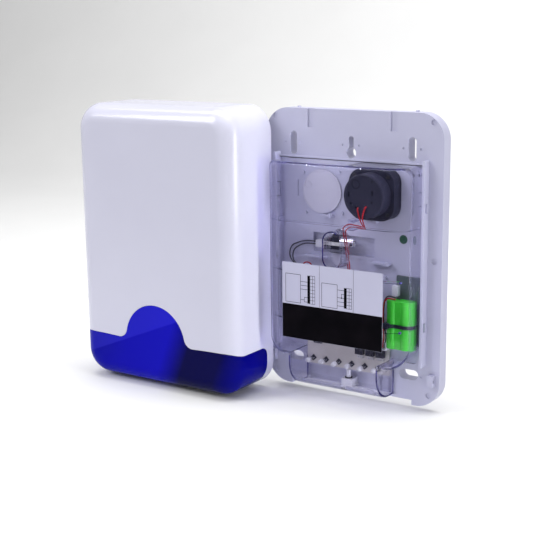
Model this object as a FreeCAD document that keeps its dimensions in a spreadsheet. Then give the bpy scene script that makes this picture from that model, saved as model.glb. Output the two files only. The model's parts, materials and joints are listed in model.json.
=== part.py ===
"""Outdoor alarm siren: wall base with its electronics, clear inner cover, and the strobe front cover
set beside it.

Frame: origin at the middle of the base's back plane, +X right and +Z up seen from the front, +Y into
the wall.
Everything on the base stands towards -Y.  The front cover is shown taken off, to the left of the base.
"""
import FreeCAD, Part
import math
import os
import Sketcher
from FreeCAD import Matrix, Placement, Rotation, Vector

doc = FreeCAD.newDocument("alarm_siren")
sheet = doc.addObject("Spreadsheet::Sheet", "Dims")

DIMENSIONS = [
    # base plate
    ("base_width", 201.0), ("base_height", 290.0), ("base_depth", 14.0), ("base_corner", 26.0),
    ("plate_thick", 2.5), ("skirt_thick", 2.5), ("foot_width", 30.0), ("foot_rise", 5.2),
    ("slot_x", 67.2), ("slot_top_z", 110.0), ("slot_length", 23.4), ("slot_width", 8.4),
    ("key_round", 5.5), ("key_round_z", 102.8), ("key_neck", 5.7), ("key_neck_top", 119.8),
    ("low_slot_x", 66.8), ("low_slot_z", -113.8), ("low_slot_length", 21.2), ("low_slot_width", 10.4),
    ("groove_x", 47.0), ("groove_width", 7.2), ("groove_end_z", 126.3), ("groove_deep", 1.6),
    ("wall_inside_x", 83.0), ("wall_thick", 2.4), ("wall_height", 10.0), ("wall_low_z", -102.0),
    ("wall_top_z", 100.5), ("ledge_z", 95.6), ("ledge_height", 1.6), ("ledge_stand", 2.6),
    ("tray_deep", 5.0), ("tray_low_z", -137.2), ("tray_top_z", -121.0), ("tray_half", 51.0),
    ("switch_bay_low_x", -44.0), ("switch_bay_high_x", 27.0), ("switch_bay_low_z", 0.5),
    ("switch_bay_high_z", 20.0), ("switch_bay_deep", 4.5),
    ("sound_radius", 20.5), ("driver_x", 31.0), ("driver_z", 65.5), ("blank_x", -33.0), ("blank_z", 62.5),
    ("blank_radius", 22.3), ("blank_thick", 2.2),
    # siren driver
    ("driver_side", 50.0), ("driver_corner", 14.0), ("driver_screw_reach", 18.5), ("driver_deep", 15.0),
    ("cap_radius", 21.9),
    ("cap_deep", 16.0), ("membrane_radius", 19.0), ("membrane_thick", 0.6),
    # control board and what it carries
    ("board_x", -1.0), ("board_z", -88.0), ("board_width", 96.0), ("board_height", 60.0),
    ("board_thick", 1.6), ("board_stand", 2.0), ("led_count", 6), ("led_first_x", -41.5),
    ("led_pitch", 15.2), ("led_z", -111.9), ("led_radius", 2.5), ("led_length", 8.8), ("led_stand", 3.4),
    ("spacer_side", 4.9), ("spacer_thick", 1.2), ("transistor_z", -97.8),
    ("terminal_x", -12.0), ("terminal_z", -72.0), ("terminal_pitch", 5.0), ("terminal_count", 8),
    ("terminal_height", 9.0), ("terminal_deep", 10.0), ("screw_radius", 1.6),
    # battery
    ("cell_radius", 6.9), ("cell_length", 47.0), ("cell_pitch", 14.0), ("cell_count", 2),
    ("battery_x", 62.6), ("battery_z", -60.8), ("wrap_thick", 0.5), ("battery_board_width", 25.0),
    ("battery_board_height", 69.0), ("battery_board_x", 65.4), ("battery_board_z", -48.6), ("tie_width", 3.6),
    ("tie_thick", 1.1),
    # tamper switch
    ("switch_x", -17.0), ("switch_z", 12.4), ("switch_width", 16.0), ("switch_height", 13.0),
    ("switch_deep", 13.0), ("barrel_radius", 4.7), ("barrel_length", 15.0), ("barrel_z", 13.4),
    ("lever_pivot_x", -22.5), ("lever_end_x", 5.0), ("lever_front_y", -26.0), ("lever_thick", 0.5),
    ("lever_height", 3.6), ("pivot_radius", 0.8), ("pivot_clearance", 0.06),
    # clear inner cover
    ("inner_half", 80.0), ("inner_top_z", 95.0), ("inner_low_z", -101.0), ("inner_front_y", -52.0),
    ("inner_back_y", -14.4), ("inner_thick", 1.6), ("inner_edge", 3.0), ("inner_top_round", 9.0),
    ("inner_slant_x", 10.0), ("inner_slant_y", 18.0), ("inner_slant_round", 8.0),
    ("inner_low_round", 20.0), ("chin_half", 51.0), ("chin_low_z", -136.6), ("chin_round", 26.0),
    ("chin_side_round", 3.4),
    ("opening_width", 19.0), ("opening_height", 36.0), ("opening_z", 11.0), ("opening_collar", 18.0),
    ("label_width", 114.6), ("label_top_z", -5.2), ("label_low_z", -83.2), ("label_thick", 0.2),
    # front cover
    ("cover_half", 103.3), ("cover_half_height", 148.0), ("cover_deep", 70.0), ("cover_wall", 2.4),
    ("cover_corner", 28.0), ("cover_edge", 19.0), ("cover_rest_x", -191.3), ("cover_rest_y", -24.05),
    ("cover_closed_y", -1.5), ("lens_rim", 11.6), ("lens_gap", 0.25), ("lens_line_z", -100.4),
    ("lens_side_z", -103.4), ("lens_side_round", 9.0), ("hump_radius", 39.5), ("hump_z", -99.8),
    ("hump_flare", 11.0),
    ("post_radius", 3.0), ("post_x", -3.6), ("post_z", 11.0), ("post_tip_gap", 0.35), ("lock_y", -5.5),
    ("lock_radius", 1.8),
    ("lock_head_radius", 3.3), ("lock_clearance", 0.08),
]

for row, (alias, value) in enumerate(DIMENSIONS, start=1):
    sheet.set("A%d" % row, alias)
    sheet.set("B%d" % row, str(value))
    sheet.setAlias("B%d" % row, alias)
doc.recompute()


def dim(alias):
    """The sheet's value for one alias."""
    return float(sheet.get(alias))


def expr(text):
    """Turn '=name' words of a formula into sheet references."""
    return str(text).replace("=", "Dims.")


# ---------------------------------------------------------------------------------------------
# small builders: every size and place is an expression on the sheet
# ---------------------------------------------------------------------------------------------

FORWARD = Rotation(Vector(1, 0, 0), 90)     # a cylinder's own +Z turned to -Y
SIDEWAYS = Rotation(Vector(0, 1, 0), 90)    # a cylinder's own +Z turned to +X
UPRIGHT = Rotation()


def place(item, at, rotation=UPRIGHT):
    """Set a placement whose three coordinates follow the sheet."""
    item.Placement = Placement(Vector(), rotation)
    for axis, formula in zip("xyz", at):
        item.setExpression("Placement.Base." + axis, expr(formula))
    return item


def box(name, x, y, z):
    """A block given by its lower and upper limits on each axis."""
    item = doc.addObject("Part::Box", name)
    for side, (low, high) in zip(("Length", "Width", "Height"), (x, y, z)):
        item.setExpression(side, expr("(%s) - (%s)" % (high, low)))
    return place(item, (x[0], y[0], z[0]))


def cylinder(name, radius, length, at, rotation=FORWARD):
    """A round bar that starts at a point and runs along the turned axis."""
    item = doc.addObject("Part::Cylinder", name)
    item.setExpression("Radius", expr(radius))
    item.setExpression("Height", expr(length))
    return place(item, at, rotation)


def cut(name, base, *tools):
    """One solid less the others."""
    item = doc.addObject("Part::Cut", name)
    item.Base = base
    item.Tool = tools[0] if len(tools) == 1 else fuse(name + "_tools", *tools)
    return item


def fuse(name, *shapes):
    """Several solids joined in one."""
    item = doc.addObject("Part::MultiFuse", name)
    item.Shapes = list(shapes)
    return item


def common(name, *shapes):
    """What several solids share."""
    item = doc.addObject("Part::MultiCommon", name)
    item.Shapes = list(shapes)
    return item


def group(name, *shapes):
    """Separate solids kept side by side in one part."""
    item = doc.addObject("Part::Compound", name)
    item.Links = list(shapes)
    return item


def fillet(name, base, radius, pick):
    """Round the edges of a solid that a test picks out."""
    doc.recompute()
    item = doc.addObject("Part::Fillet", name)
    item.Base = base
    item.Edges = [(number, radius, radius)
                  for number, edge in enumerate(base.Shape.Edges, start=1) if pick(edge)]
    return item


def along(axis, low=None, high=None):
    """Test for straight edges along an axis, optionally with limits (axis letter, least, most)."""
    unit = {"x": Vector(1, 0, 0), "y": Vector(0, 1, 0), "z": Vector(0, 0, 1)}[axis]

    def pick(edge):
        if edge.Curve.TypeId != "Part::GeomLine":
            return False
        middle = edge.CenterOfMass
        direction = edge.tangentAt(edge.FirstParameter)
        inside = True
        if low is not None:
            inside = inside and getattr(middle, low[0]) > low[1]
        if high is not None:
            inside = inside and getattr(middle, high[0]) < high[1]
        return inside and abs(direction.dot(unit)) > 0.999
    return pick


def on_front(y):
    """Test for the edges that lie in one plane facing -Y."""
    def pick(edge):
        limits = edge.BoundBox
        return abs(limits.YMin - y) < 1e-4 and abs(limits.YMax - y) < 1e-4
    return pick


def obround(name, width, length, deep, at, upright=True):
    """A slot-shaped plug, rounded at both ends, running from a point towards -Y."""
    half = "(%s) / 2" % width
    reach = "((%s) - (%s)) / 2" % (length, width)
    x, y, z = at
    if upright:
        middle = box(name + "_bar", ("%s - %s" % (x, half), "%s + %s" % (x, half)),
                     ("%s - (%s)" % (y, deep), y), ("%s - %s" % (z, reach), "%s + %s" % (z, reach)))
        ends = [(x, y, "%s - %s" % (z, reach)), (x, y, "%s + %s" % (z, reach))]
    else:
        middle = box(name + "_bar", ("%s - %s" % (x, reach), "%s + %s" % (x, reach)),
                     ("%s - (%s)" % (y, deep), y), ("%s - %s" % (z, half), "%s + %s" % (z, half)))
        ends = [("%s - %s" % (x, reach), y, z), ("%s + %s" % (x, reach), y, z)]
    rounds = [cylinder(name + "_end%d" % number, half, deep, end)
              for number, end in enumerate(ends)]
    return fuse(name, middle, *rounds)


def origin_plane(body, role):
    """One of a body's own origin planes."""
    return [item for item in body.Origin.OriginFeatures if item.Role == role][0]


def plate_body(name, width, height, deep, at, corner=None):
    """A PartDesign plate: a centred rectangle on the body's XZ plane padded towards -Y."""
    body = doc.addObject("PartDesign::Body", name)
    sketch = body.newObject("Sketcher::SketchObject", name + "_outline")
    sketch.AttachmentSupport = [(origin_plane(body, "XZ_Plane"), "")]
    sketch.MapMode = "FlatFace"
    corners = [Vector(-5, -5, 0), Vector(5, -5, 0), Vector(5, 5, 0), Vector(-5, 5, 0)]
    for number in range(4):
        sketch.addGeometry(Part.LineSegment(corners[number], corners[(number + 1) % 4]), False)
    for number in range(4):
        sketch.addConstraint(Sketcher.Constraint("Coincident", number, 2, (number + 1) % 4, 1))
    for number in range(4):
        sketch.addConstraint(Sketcher.Constraint(("Horizontal", "Vertical")[number % 2], number))
    sketch.addConstraint(Sketcher.Constraint("Symmetric", 0, 1, 1, 2, -1, 1))
    wide = sketch.addConstraint(Sketcher.Constraint("DistanceX", 0, 1, 0, 2, 10.0))
    high = sketch.addConstraint(Sketcher.Constraint("DistanceY", 1, 1, 1, 2, 10.0))
    sketch.setExpression("Constraints[%d]" % wide, expr(width))
    sketch.setExpression("Constraints[%d]" % high, expr(height))
    pad = body.newObject("PartDesign::Pad", name + "_pad")
    pad.Profile = sketch
    pad.setExpression("Length", expr(deep))
    if corner:
        doc.recompute()
        rounding = body.newObject("PartDesign::Fillet", name + "_corners")
        edges = ["Edge%d" % number for number, edge in enumerate(pad.Shape.Edges, start=1)
                 if along("y")(edge)]
        rounding.Base = (pad, edges)
        rounding.setExpression("Radius", expr(corner))
    return place(body, at)


def disc_body(name, radius, deep, at):
    """A PartDesign disc: a circle on the body's XZ plane padded towards -Y."""
    body = doc.addObject("PartDesign::Body", name)
    sketch = body.newObject("Sketcher::SketchObject", name + "_outline")
    sketch.AttachmentSupport = [(origin_plane(body, "XZ_Plane"), "")]
    sketch.MapMode = "FlatFace"
    sketch.addGeometry(Part.Circle(Vector(), Vector(0, 0, 1), 5.0), False)
    sketch.addConstraint(Sketcher.Constraint("Coincident", 0, 3, -1, 1))
    size = sketch.addConstraint(Sketcher.Constraint("Radius", 0, 5.0))
    sketch.setExpression("Constraints[%d]" % size, expr(radius))
    pad = body.newObject("PartDesign::Pad", name + "_pad")
    pad.Profile = sketch
    pad.setExpression("Length", expr(deep))
    return place(body, at)


def feature(name, shape, placement=None):
    """A part whose shape is worked out in code from the sheet's values."""
    item = doc.addObject("Part::Feature", name)
    item.Shape = shape
    if placement:
        item.Placement = placement
    return item


def lead(name, points, radius=0.65):
    """An insulated wire: straight runs joined by tangent arcs, as large as the runs allow."""
    points = [Vector(*point) for point in points]
    edges = []
    start = points[0]
    radii = []
    for before, corner, after in zip(points, points[1:], points[2:]):
        arriving = (corner - before).normalize()
        leaving = (after - corner).normalize()
        turn = arriving.getAngle(leaving)
        shorter = min(before.distanceToPoint(corner), corner.distanceToPoint(after))
        reach = 0.45 * shorter
        radii.append(reach / math.tan(turn / 2))
        first = corner - arriving * reach
        last = corner + leaving * reach
        bisector = (leaving - arriving).normalize()
        middle = corner + bisector * (radii[-1] / math.cos(turn / 2) - radii[-1])
        edges.append(Part.LineSegment(start, first).toShape())
        edges.append(Part.Arc(first, middle, last).toShape())
        start = last
    edges.append(Part.LineSegment(start, points[-1]).toShape())
    path = Part.Wire(edges)
    section = Part.Wire(Part.makeCircle(radius, points[0], points[1] - points[0]))
    tube = path.makePipeShell([section], True, True)
    expected = math.pi * radius ** 2 * path.Length
    print("%s: length %.1f, radii %s, volume %.1f of %.1f" % (
        name, path.Length, ["%.1f" % value for value in radii], tube.Volume, expected))
    return feature(name, tube)


# ---------------------------------------------------------------------------------------------
# base plate
# ---------------------------------------------------------------------------------------------

FACE = "-(=base_depth)"


def base_plate():
    """Shallow tray-shaped wall plate: flat front, skirt all round, open back with two rib feet."""
    blank = plate_body("base_blank", "=base_width", "=base_height", "=base_depth", (0, 0, 0),
                       "=base_corner")
    hollow = plate_body("base_hollow", "=base_width - 2 * =skirt_thick", "=base_height - 2 * =skirt_thick",
                        "=base_depth - =plate_thick", (0, 0, 0), "=base_corner - =skirt_thick")
    shell = cut("base_shell", blank, hollow)

    half_notch = "=base_width / 2 - =foot_width"
    bottom = "-(=base_height) / 2"
    notch = box("base_notch", ("-(%s)" % half_notch, half_notch), ("-(=base_depth) - 1", "1"),
                (bottom + " - 1", bottom + " + =foot_rise"))
    skirt = box("base_low_skirt", ("-(%s) - =skirt_thick" % half_notch, "%s + =skirt_thick" % half_notch),
                (FACE, "0"), (bottom + " + =foot_rise", bottom + " + =foot_rise + =skirt_thick"))
    rib_ends = [(-1, "left"), (1, "right")]
    ribs = [box("base_rib_" + side, ("%d * 6 - 1" % sign, "%d * 6 + 1" % sign), (FACE, "0"),
                ("-30", "=key_round_z - 10")) for sign, side in rib_ends]
    pad = box("base_wall_pad", ("-12", "12"), ("-(=base_depth) + 1", "0"), ("-8", "8"))

    walls = [box("base_wall_" + side, (low, high), ("-(=base_depth) - =wall_height", "-(=base_depth) + 1"),
                 ("=wall_low_z", "=wall_top_z"))
             for side, low, high in (("left", "-(=wall_inside_x) - =wall_thick", "-(=wall_inside_x)"),
                                     ("right", "=wall_inside_x", "=wall_inside_x + =wall_thick"))]
    ledge = box("base_ledge", ("-(=wall_inside_x)", "=wall_inside_x"),
                ("-(=base_depth) - =ledge_stand", FACE + " + 1"),
                ("=ledge_z", "=ledge_z + =ledge_height"))

    tray_half = "=tray_half"
    tray_box = box("base_tray_back", ("-(%s) - 2" % tray_half, "%s + 2" % tray_half),
                   ("-(=base_depth) + =tray_deep", "-(=base_depth) + =tray_deep + 2"),
                   ("=tray_low_z - 2", "=tray_top_z + 2"))
    tray_rim = cut("base_tray_rim",
                   box("base_tray_outer", ("-(%s) - 2" % tray_half, "%s + 2" % tray_half),
                       (FACE, "-(=base_depth) + =tray_deep + 1"), ("=tray_low_z - 2", "=tray_top_z + 2")),
                   box("base_tray_space", ("-(%s)" % tray_half, tray_half),
                       ("-(=base_depth) - 1", "-(=base_depth) + =tray_deep"),
                       ("=tray_low_z", "=tray_top_z")))
    bay_frame = box("base_bay_frame", ("=switch_bay_low_x - 2", "=switch_bay_high_x + 2"),
                    (FACE, "-(=base_depth) + =switch_bay_deep + 2"),
                    ("=switch_bay_low_z - 2", "=switch_bay_high_z + 2"))

    standoffs = [cylinder("base_standoff_%d" % number, 2.6, "=board_stand + 1", (x, FACE + " + 1", z))
                 for number, (x, z) in enumerate(board_screw_spots())]
    posts = [cylinder("base_post_%d" % number, radius, 3.0, (x, FACE + " + 1", z))
             for number, (x, z, radius) in enumerate(BASE_POSTS)]
    hooks = [box("base_hook_%d" % number, (low, high), ("-(=base_depth) - 7", FACE + " + 1"), (z, z + 1.8))
             for number, (low, high, z) in enumerate(SNAP_HOOKS)]
    hooks += [box("base_hook_nib_%d" % number, (high - 3.5, high),
                  ("-(=base_depth) - 8.6", "-(=base_depth) - 4.8"), (z, z + 3.4))
              for number, (low, high, z) in enumerate(SNAP_HOOKS)]
    catches = [box("base_catch_" + side, (low, high), ("-(=base_depth) - 5", FACE + " + 1"),
                   ("-121.4", "-110.2"))
               for side, low, high in (("left", -95.5, -89.3), ("right", 89.3, 95.5))]
    nubs = [cylinder("base_nub_%d" % number, 1.9, "1.2 + =skirt_thick",
                     (x, -3.2, "=base_height / 2 - =skirt_thick"), UPRIGHT)
            for number, x in enumerate((-67.0, 67.0))]
    tray_boss = box("base_tray_boss", ("20", "34"), (FACE, "-(=base_depth) + =tray_deep + 1"),
                    ("=tray_low_z", "=tray_top_z"))
    solid = fuse("base_solid", cut("base_skirted", shell, notch), skirt, pad, *ribs, *walls, ledge,
                 tray_box, tray_rim, bay_frame, *standoffs, *posts, *hooks, *catches, *nubs,
                 *slot_collars())

    openings = [cylinder("base_standoff_bore_%d" % number, 1.05, 5, (x, "-(=base_depth) + 1.9", z))
                for number, (x, z) in enumerate(board_screw_spots())]
    openings += [box("base_tray_open", ("-(%s)" % tray_half, tray_half),
                    ("-(=base_depth) - 1", "-(=base_depth) + =tray_deep"), ("=tray_low_z", "=tray_top_z")),
                box("base_bay_open", ("=switch_bay_low_x", "=switch_bay_high_x"),
                    ("-(=base_depth) - 1", "-(=base_depth) + =switch_bay_deep"),
                    ("=switch_bay_low_z", "=switch_bay_high_z"))]
    for side, sign in (("left", -1), ("right", 1)):
        openings.append(obround("base_top_slot_" + side, "=slot_width", "=slot_length", "=base_depth + 2",
                                ("%d * =slot_x" % sign, "1", "=slot_top_z")))
        openings.append(obround("base_low_slot_" + side, "=low_slot_width", "=low_slot_length",
                                "=base_depth + 2", ("%d * =low_slot_x" % sign, "1", "=low_slot_z"), False))
        openings.append(box("base_groove_" + side, ("%d * =groove_x - =groove_width / 2" % sign,
                                                    "%d * =groove_x + =groove_width / 2" % sign),
                            ("-(=base_depth) - 1", "-(=base_depth) + =groove_deep"),
                            ("=groove_end_z", "=base_height / 2 + 1")))
        openings.append(box("base_catch_window_" + side, ("%f - 1.2" % (sign * 94.4),
                                                          "%f + 1.2" % (sign * 94.4)),
                            ("-(=base_depth) - 3.6", "-(=base_depth) - 1.4"), ("-118", "-114.6")))
    openings.append(cylinder("base_key_round", "=key_round", "=base_depth + 2", ("0", "1", "=key_round_z")))
    openings.append(box("base_key_neck", ("-(=key_neck) / 2", "=key_neck / 2"), ("-(=base_depth) - 1", "1"),
                        ("=key_round_z", "=key_neck_top - =key_neck / 2")))
    openings.append(cylinder("base_key_end", "=key_neck / 2", "=base_depth + 2",
                             ("0", "1", "=key_neck_top - =key_neck / 2")))
    openings.append(cylinder("base_driver_sound", "=sound_radius", 12, ("=driver_x", "-6", "=driver_z")))
    openings.append(cylinder("base_blank_seat", "=blank_radius + 0.2", 2,
                             ("=blank_x", "-(=base_depth) + 1", "=blank_z")))
    openings.append(cylinder("base_blank_sound", "=sound_radius", 12, ("=blank_x", "-6", "=blank_z")))
    openings.append(box("base_long_slit", ("-62.6", "-61"), ("-(=base_depth) - 1", "-(=base_depth) + 1"),
                        ("55.3", "72.8")))
    openings += [cylinder("base_dimple_%d" % number, 1.2, 1.8, (x, -13.2, z))
                 for number, (x, z) in enumerate(DIMPLES)]
    openings += [cylinder("base_ejector_%d" % number, 2.9, 2.2, (x, -12.8, z))
                 for number, (x, z) in enumerate(EJECTOR_MARKS)]
    openings += [box("base_window_%d" % number, (min(x, x + 5), max(x, x + 5)), (-21.5, -17.5),
                     (z, z + 9.5)) for number, (x, z) in enumerate(WALL_WINDOWS)]
    openings.append(cylinder("base_lock_hole", 2.1, "=foot_rise + 9",
                             ("0", "=cover_closed_y + =lock_y", bottom + " - 1"), UPRIGHT))
    pierced = cut("base_pierced", solid, *openings)
    lock_boss = cut("base_lock_boss",
                    box("base_lock_block", ("-6", "6"), ("-(=base_depth) + =tray_deep + 1", "0"),
                        (bottom + " + =foot_rise", bottom + " + =foot_rise + 10")),
                    cylinder("base_lock_bore", 2.1, "=foot_rise + 9",
                             ("0", "=cover_closed_y + =lock_y", bottom + " - 1"), UPRIGHT))
    return fuse("base_plate", pierced, lock_boss, tray_boss)


def slot_collars():
    """Walls round the fixing slots and the keyhole, from the plate back to the wall."""
    deep = "=base_depth - 1"
    collars = [cylinder("base_key_collar", "=key_round + 1.5", deep, ("0", "0", "=key_round_z")),
               box("base_key_neck_collar", ("-(=key_neck) / 2 - 1.5", "=key_neck / 2 + 1.5"),
                   ("-(=base_depth) + 1", "0"), ("=key_round_z", "=key_neck_top + 1.5"))]
    for side, sign in (("left", -1), ("right", 1)):
        collars.append(obround("base_top_collar_" + side, "=slot_width + 3", "=slot_length + 3", deep,
                               ("%d * =slot_x" % sign, "0", "=slot_top_z")))
        collars.append(obround("base_low_collar_" + side, "=low_slot_width + 3", "=low_slot_length + 3",
                               deep, ("%d * =low_slot_x" % sign, "0", "=low_slot_z"), False))
    return collars


BASE_POSTS = [(-55.1, 80.4, 1.5), (-13.3, 83.1, 1.5), (-52.2, 39.5, 1.5), (-9.7, 42.1, 1.5),
              (40.0, -18.0, 1.8)]
SNAP_HOOKS = [(-32.0, -18.5, 38.0), (21.0, 33.5, 36.6), (-51.5, -28.5, -5.2), (25.5, 46.5, -4.8)]
DIMPLES = [(-76.6, 110.4), (-58.0, 110.4), (-9.3, 110.4), (9.3, 110.4), (58.0, 110.4), (76.6, 110.4),
           (81.0, -114.5), (-81.0, -114.5)]
EJECTOR_MARKS = [(89.4, 136.4), (-89.4, 136.4), (92.2, 3.1), (-92.2, 3.1), (88.9, -132.4), (-88.9, -132.4)]
WALL_WINDOWS = [(81.9, 50.0), (81.9, -67.0), (-86.9, 50.0), (-86.9, -67.0)]


# ---------------------------------------------------------------------------------------------
# siren driver and blanking disc
# ---------------------------------------------------------------------------------------------

def driver_corners():
    """Where the four screws of the horn body stand."""
    return [("=driver_x + %d * =driver_screw_reach" % sx, "=driver_z + %d * =driver_screw_reach" % sz)
            for sx, sz in ((-1, -1), (1, -1), (1, 1), (-1, 1))]


def siren_driver_housing():
    """Square-shouldered black horn body screwed over the sound opening."""
    block = plate_body("driver_block", "=driver_side", "=driver_side", "=driver_deep",
                       ("=driver_x", FACE + " - 0.05", "=driver_z"), "=driver_corner")
    holes = [cylinder("driver_screw_hole_%d" % number, 0.95, 4,
                      (x, "-(=base_depth) - =driver_deep + 3.1", z))
             for number, (x, z) in enumerate(driver_corners())]
    throat = cylinder("driver_throat", "=membrane_radius - 3", "=driver_deep - 4",
                      ("=driver_x", FACE + " + 1", "=driver_z"))
    return cut("siren_driver_housing", block, throat, *holes)


def siren_driver_cap():
    """Round cap on the front of the horn body, hollow for the sounding membrane."""
    start = "-(=base_depth) - =driver_deep - 0.1"
    block = disc_body("cap_block", "=cap_radius", "=cap_deep", ("=driver_x", start, "=driver_z"))
    rounded = fillet("cap_rounded", block, 1.6,
                     on_front(-dim("base_depth") - dim("driver_deep") - 0.1 - dim("cap_deep")))
    space = cylinder("cap_space", "=membrane_radius + 0.3", "=cap_deep - 3",
                     ("=driver_x", start + " + 1", "=driver_z"))
    holes = [cylinder("cap_hole_%d" % number, 0.8, 6,
                      ("=driver_x + %f" % x, start + " - =cap_deep + 5", "=driver_z + %f" % z))
             for number, (x, z) in enumerate(LEAD_HOLES)]
    return cut("siren_driver_cap", rounded, space, *holes)


LEAD_HOLES = [(-5.3, -11.0), (3.5, -9.3)]


def siren_membrane():
    """Thin brass sounding disc inside the cap."""
    return disc_body("siren_membrane", "=membrane_radius", "=membrane_thick",
                     ("=driver_x", "-(=base_depth) - =driver_deep - 4", "=driver_z"))


def screw(name, at, head=2.3, head_deep=1.4, shank=1.0, shank_deep=4.0):
    """Pan-head screw seen from the front, its shank running into the wall side."""
    x, y, z = at
    top = cylinder(name + "_head", head, head_deep, (x, y, z))
    body = cylinder(name + "_shank", shank, shank_deep, (x, "%s + %s" % (y, shank_deep), z))
    slot = box(name + "_slot", ("%s - %f" % (x, head), "%s + %f" % (x, head)),
               ("%s - %f" % (y, head_deep + 0.1), "%s - %f" % (y, head_deep - 0.5)),
               ("%s - 0.3" % z, "%s + 0.3" % z))
    return cut(name, fuse(name + "_blank", top, body), slot)


def blanking_disc():
    """Pale knock-out disc over the second sound opening, with a moulding ring near its left edge."""
    disc = disc_body("blank_disc", "=blank_radius", "=blank_thick",
                     ("=blank_x", "-(=base_depth) + 0.95", "=blank_z"))
    ring = cut("blank_ring", cylinder("blank_ring_outer", 3.9, "=blank_thick + 0.35",
                                      ("-49.5", "-(=base_depth) + 0.95", "68.5")),
               cylinder("blank_ring_inner", 3.5, 5, ("-49.5", "-(=base_depth) + 2", "68.5")))
    lip = cut("blank_lip", cylinder("blank_lip_outer", "=blank_radius", "=blank_thick + 0.35",
                                    ("=blank_x", "-(=base_depth) + 0.95", "=blank_z")),
              cylinder("blank_lip_inner", "=blank_radius - 0.7", 6,
                       ("=blank_x", "-(=base_depth) + 2", "=blank_z")))
    trim = common("blank_ring_trim", ring, cylinder("blank_trim", "=blank_radius", 6,
                                                    ("=blank_x", "-(=base_depth) + 2", "=blank_z")))
    return fuse("blanking_disc", disc, trim, lip)


def inspection_dot():
    """Round green inspection sticker on the plate."""
    return disc_body("inspection_dot", 4.4, 0.15, ("59.1", FACE + " - 0.02", "21.9"))


# ---------------------------------------------------------------------------------------------
# control board
# ---------------------------------------------------------------------------------------------

BOARD_BACK = "-(=base_depth) - =board_stand - 0.02"
BOARD_FACE = "-(=base_depth) - =board_stand - =board_thick - 0.04"


def board_screw_spots():
    """The two upper corners where the board is screwed down."""
    return [("=board_x + %d * (=board_width / 2 - 6)" % sign, "=board_z + (=board_height / 2 - 5)")
            for sign in (-1, 1)]


def control_board():
    """Pale circuit board on short standoffs, with clearance holes for its two screws."""
    blank = plate_body("board_blank", "=board_width", "=board_height", "=board_thick",
                       ("=board_x", BOARD_BACK, "=board_z"), "1.0")
    holes = [cylinder("board_hole_%d" % number, 1.2, 6, (x, BOARD_BACK + " + 2", z))
             for number, (x, z) in enumerate(board_screw_spots())]
    return cut("control_board", blank, *holes)


def led_spot(number):
    """Where one strobe LED stands."""
    return "=led_first_x + %d * =led_pitch" % number


def strobe_leds():
    """Row of clear round-nosed LEDs."""
    lamps = []
    for number in range(int(dim("led_count"))):
        x = led_spot(number)
        start = BOARD_FACE + " - =spacer_thick - =led_stand"
        stem = cylinder("led_stem_%d" % number, "=led_radius", "=led_length - =led_radius",
                        (x, start, "=led_z"))
        collar = cylinder("led_collar_%d" % number, "=led_radius + 0.4", 1, (x, start, "=led_z"))
        nose = doc.addObject("Part::Sphere", "led_nose_%d" % number)
        nose.setExpression("Radius", expr("=led_radius"))
        place(nose, (x, start + " - =led_length + =led_radius", "=led_z"))
        lamps.append(fuse("led_%d" % number, stem, collar, nose))
    return group("strobe_leds", *lamps)


def led_legs():
    """Two tinned legs under each LED, down to its square pad."""
    legs = []
    for number in range(int(dim("led_count"))):
        for side, shift in (("left", -1.27), ("right", 1.27)):
            x = "%s + %f" % (led_spot(number), shift)
            legs.append(box("led_leg_%s_%d" % (side, number), (x + " - 0.25", x + " + 0.25"),
                            (BOARD_FACE + " - =spacer_thick - =led_stand + 0.02",
                             BOARD_FACE + " - =spacer_thick - 0.02"), ("=led_z - 0.25", "=led_z + 0.25")))
    return group("led_legs", *legs)


def led_spacers():
    """Black square spacers turned on their corners under the LEDs."""
    spacers = []
    for number in range(int(dim("led_count"))):
        spacer = doc.addObject("Part::Box", "spacer_%d" % number)
        spacer.setExpression("Length", expr("=spacer_side"))
        spacer.setExpression("Width", expr("=spacer_thick"))
        spacer.setExpression("Height", expr("=spacer_side"))
        reach = "=spacer_side / sqrt(2)"
        place(spacer, (led_spot(number), BOARD_FACE + " - =spacer_thick", "=led_z - " + reach),
              Rotation(Vector(0, 1, 0), -45))
        spacers.append(spacer)
    return group("led_spacers", *spacers)


TRANSISTOR_X = (15.4, 27.4, 39.0)


def transistor_bodies():
    """Three black power transistors standing on the board."""
    bodies = []
    for number, x in enumerate(TRANSISTOR_X):
        block = box("transistor_%d" % number, (x - 4.4, x + 4.4),
                    (BOARD_FACE + " - 6.4", BOARD_FACE + " - 1.6"),
                    ("=transistor_z - 1", "=transistor_z + 6"))
        bodies.append(block)
    return group("transistor_bodies", *bodies)


def transistor_legs():
    """Tinned legs of the transistors, from the body into the board."""
    legs = []
    for number, x in enumerate(TRANSISTOR_X):
        for leg, offset in enumerate((-2.5, 0, 2.5)):
            drop = box("leg_drop_%d_%d" % (number, leg), (x + offset - 0.4, x + offset + 0.4),
                       (BOARD_FACE + " - 4.3", BOARD_FACE + " - 3.6"),
                       ("=transistor_z - 4.4", "=transistor_z - 1.02"))
            foot = box("leg_foot_%d_%d" % (number, leg), (x + offset - 0.4, x + offset + 0.4),
                       (BOARD_FACE + " - 4.3", BOARD_FACE), ("=transistor_z - 5.1", "=transistor_z - 4.4"))
            legs.append(fuse("leg_%d_%d" % (number, leg), drop, foot))
    return group("transistor_legs", *legs)


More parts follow.
